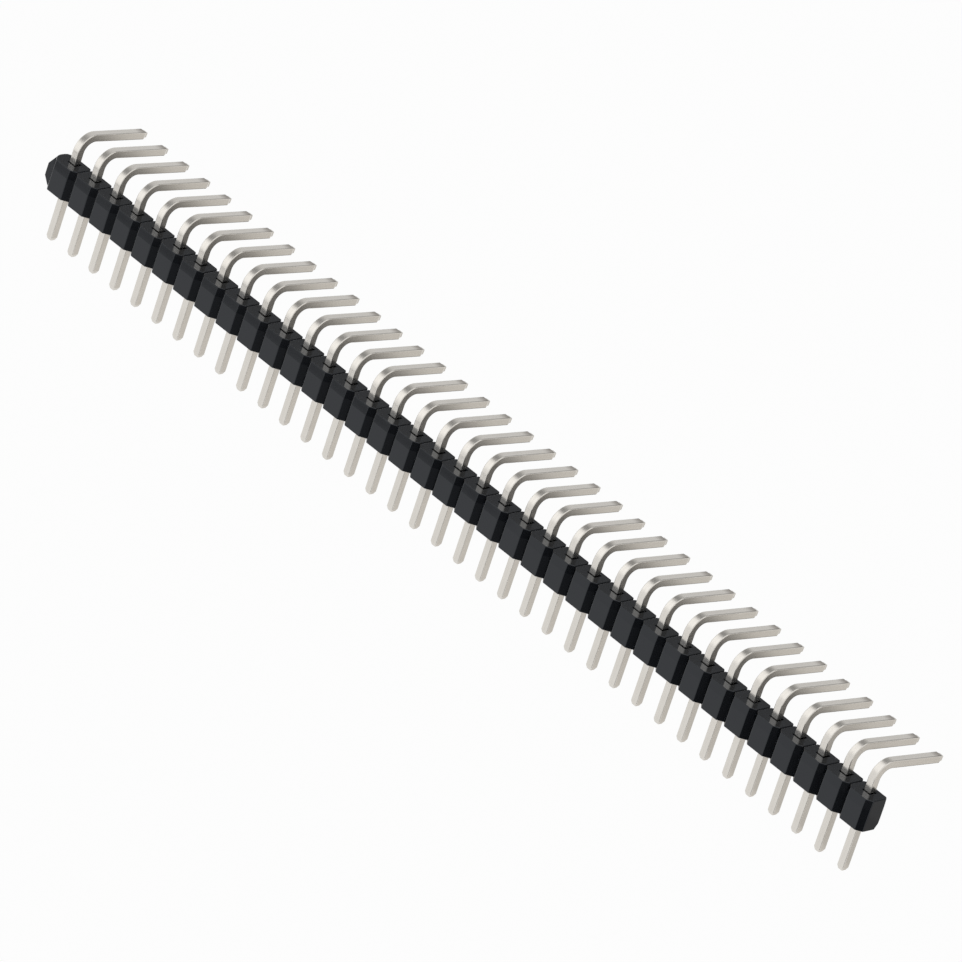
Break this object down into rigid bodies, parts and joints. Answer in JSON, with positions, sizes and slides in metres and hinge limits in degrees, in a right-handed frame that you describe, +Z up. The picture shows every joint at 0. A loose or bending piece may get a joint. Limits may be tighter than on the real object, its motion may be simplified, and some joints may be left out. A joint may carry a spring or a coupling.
{
  "type": "pin header strip",
  "caption": "Right-angle breakaway pin header: a notched plastic housing that holds a row of square bent pins for a circuit board.",
  "frame": {"origin": "on the middle pin's axis, in the plane of the housing's underside, which seats on the circuit board", "axes": "+X along the row, +Y the way the bent arms point, +Z up out of the board"},
  "size_m": [0.0946, 0.0082, 0.0093],
  "materials": {
    "housing_plastic": "glossy moulded black",
    "pin_metal": "satin tin plate over brass"
  },
  "bodies": {
    "root": {"housing": "housing_plastic", "pin_01": "pin_metal", "pin_02": "pin_metal", "pin_03": "pin_metal", "pin_04": "pin_metal", "pin_05": "pin_metal", "pin_06": "pin_metal", "pin_07": "pin_metal", "pin_08": "pin_metal", "pin_09": "pin_metal", "pin_10": "pin_metal", "pin_11": "pin_metal", "pin_12": "pin_metal", "pin_13": "pin_metal", "pin_14": "pin_metal", "pin_15": "pin_metal", "pin_16": "pin_metal", "pin_17": "pin_metal", "pin_18": "pin_metal", "pin_19": "pin_metal", "pin_20": "pin_metal", "pin_21": "pin_metal", "pin_22": "pin_metal", "pin_23": "pin_metal", "pin_24": "pin_metal", "pin_25": "pin_metal", "pin_26": "pin_metal", "pin_27": "pin_metal", "pin_28": "pin_metal", "pin_29": "pin_metal", "pin_30": "pin_metal", "pin_31": "pin_metal", "pin_32": "pin_metal", "pin_33": "pin_metal", "pin_34": "pin_metal", "pin_35": "pin_metal", "pin_36": "pin_metal", "pin_37": "pin_metal"}
  },
  "joints": []
}
